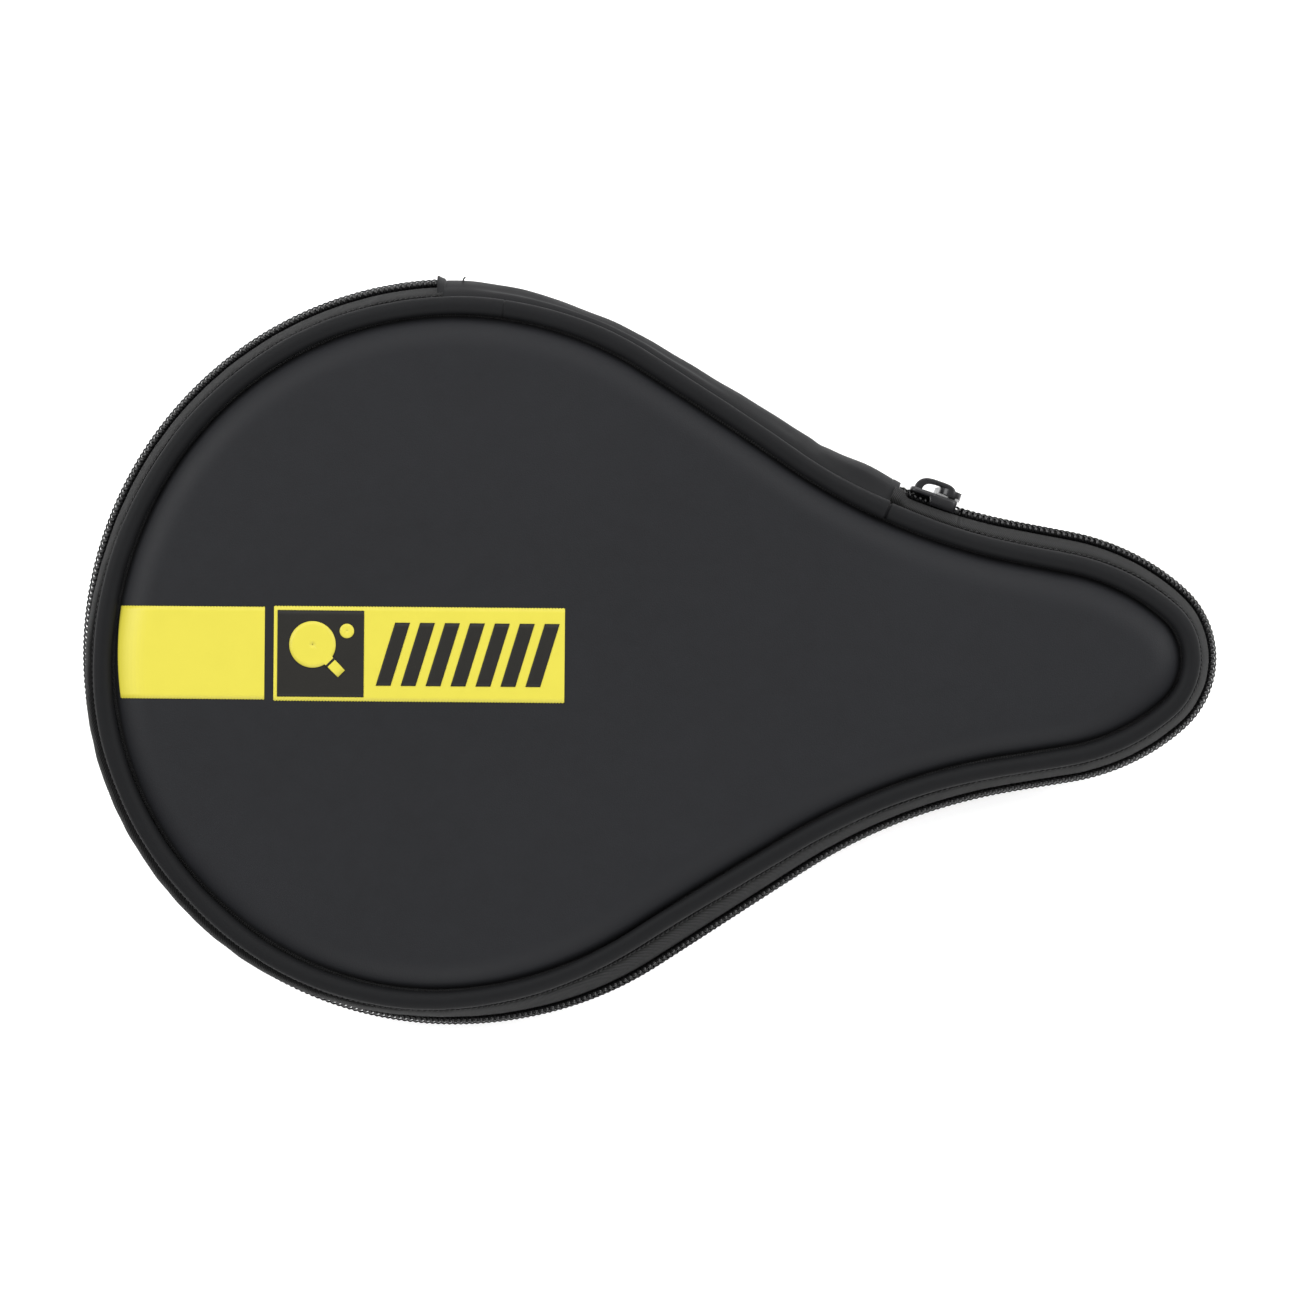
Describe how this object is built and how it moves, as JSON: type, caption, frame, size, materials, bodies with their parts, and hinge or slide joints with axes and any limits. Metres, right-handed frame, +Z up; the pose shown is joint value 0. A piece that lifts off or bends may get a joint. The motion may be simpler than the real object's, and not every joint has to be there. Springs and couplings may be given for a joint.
{
  "type": "table tennis bat case",
  "caption": "Zipped clamshell case for one table tennis bat: two padded pear-shaped panels with piped edges, a fabric hinge spine, coil zip, slider and puller.",
  "frame": {"origin": "on the surface that the case rests on, under the centre of the round blade end", "axes": "+Z up through the closed case, +X along the centre line to the handle end, +Y towards the hinge spine"},
  "size_m": [0.3, 0.1978, 0.0343],
  "materials": {
    "coated_cloth": "matte black polyurethane-coated cloth with a soft, faintly dusty face",
    "piping_cloth": "matte black coated cloth strip, fine woven grain",
    "lining_cloth": "black brushed knit lining",
    "binding_tape": "black ribbed binding tape",
    "zip_tape": "black twill-woven polyester tape",
    "zip_coil": "black nylon monofilament, satin",
    "foam_board": "closed-cell foam, matte",
    "piping_core": "soft extruded cord, matte",
    "slider_metal": "black electroplated zinc, semi-gloss",
    "print_yellow": "screen-printed yellow film, satin",
    "print_black": "screen-printed black film, satin"
  },
  "bodies": {
    "base": {"base_skin": "coated_cloth", "base_foam": "foam_board", "base_lining": "lining_cloth", "base_piping": "piping_cloth", "base_piping_cord": "piping_core", "base_seam_binding": "binding_tape", "base_zip_tape": "zip_tape", "base_coil": "zip_coil", "base_spine": "piping_cloth", "base_spine_lining": "lining_cloth", "zip_end_tape": "zip_tape", "zip_end_coil": "zip_coil", "zip_bar_tack": "zip_tape"},
    "lid": {"lid_skin": "coated_cloth", "lid_foam": "foam_board", "lid_lining": "lining_cloth", "lid_piping": "piping_cloth", "lid_piping_cord": "piping_core", "lid_seam_binding": "binding_tape", "lid_zip_tape": "zip_tape", "lid_neck_tape": "zip_tape", "lid_slider_tape": "zip_tape", "lid_coil": "zip_coil", "lid_spine": "piping_cloth", "lid_spine_lining": "lining_cloth", "print_small_field": "print_yellow", "print_large_field": "print_yellow", "print_square": "print_black"},
    "slider": {"slider_body": "slider_metal", "slider_bridge": "slider_metal"},
    "puller": {"puller": "slider_metal"}
  },
  "joints": [
    {"name": "lid_hinge", "type": "hinge", "parent": "base", "child": "lid", "pos_m": [0.03982, 0.09118, 0.017], "axis": [-0.9164, 0.4002, 0], "range_deg": [0, 179]},
    {"name": "slider_travel", "type": "hinge", "parent": "base", "child": "slider", "pos_m": [0.17503, 0.18458, 0.017], "axis": [0, 0, 1], "range_deg": [0, 6.09]},
    {"name": "puller_swing", "type": "hinge", "parent": "slider", "child": "puller", "pos_m": [0.13085, 0.04304, 0.017], "axis": [-0.3233, -0.9463, 0], "range_deg": [-40, 180]}
  ]
}
